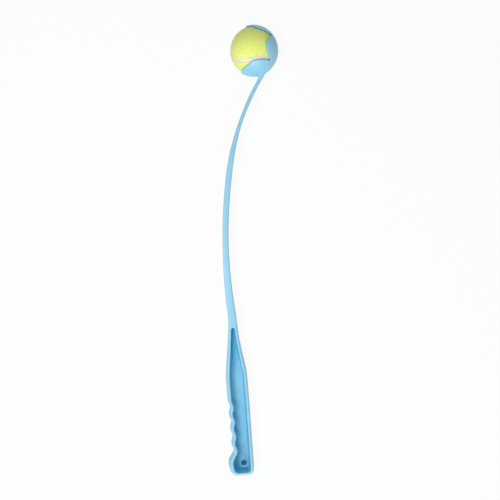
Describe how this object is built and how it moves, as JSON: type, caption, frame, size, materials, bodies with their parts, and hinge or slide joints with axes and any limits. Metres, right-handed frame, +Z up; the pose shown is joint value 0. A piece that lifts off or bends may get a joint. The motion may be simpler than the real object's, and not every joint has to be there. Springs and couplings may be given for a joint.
{
  "type": "dog ball thrower",
  "caption": "Dog ball thrower: a bowed plastic wand with a claw cup that grips a tennis ball for throwing and picking up, and a hollow grooved handle with a hanging hole.",
  "frame": {"origin": "on the ground, under the middle of the bounding box", "axes": "+Y runs from the butt of the handle to the cup, +Z is up while the thrower lies on its side with the handle's open side up, and the finger grooves and the mouth of the cup face -X"},
  "size_m": [0.0792, 0.6358, 0.0655],
  "materials": {
    "thrower_plastic": "satin",
    "ball_felt": "woolly felt nap",
    "ball_seam": "matte",
    "ball_rubber": "matte"
  },
  "bodies": {
    "thrower": {"thrower": "thrower_plastic"},
    "ball": {"ball_felt_panel_a": "ball_felt", "ball_felt_panel_b": "ball_felt", "ball_seam": "ball_seam", "ball_core_half_a": "ball_rubber", "ball_core_half_b": "ball_rubber"}
  },
  "joints": [
    {"name": "ball_release", "type": "slide", "parent": "thrower", "child": "ball", "axis": [-0.9956, 0.0941, 0.0031], "range_m": [0, 0.06], "deforming": ["thrower"]}
  ]
}
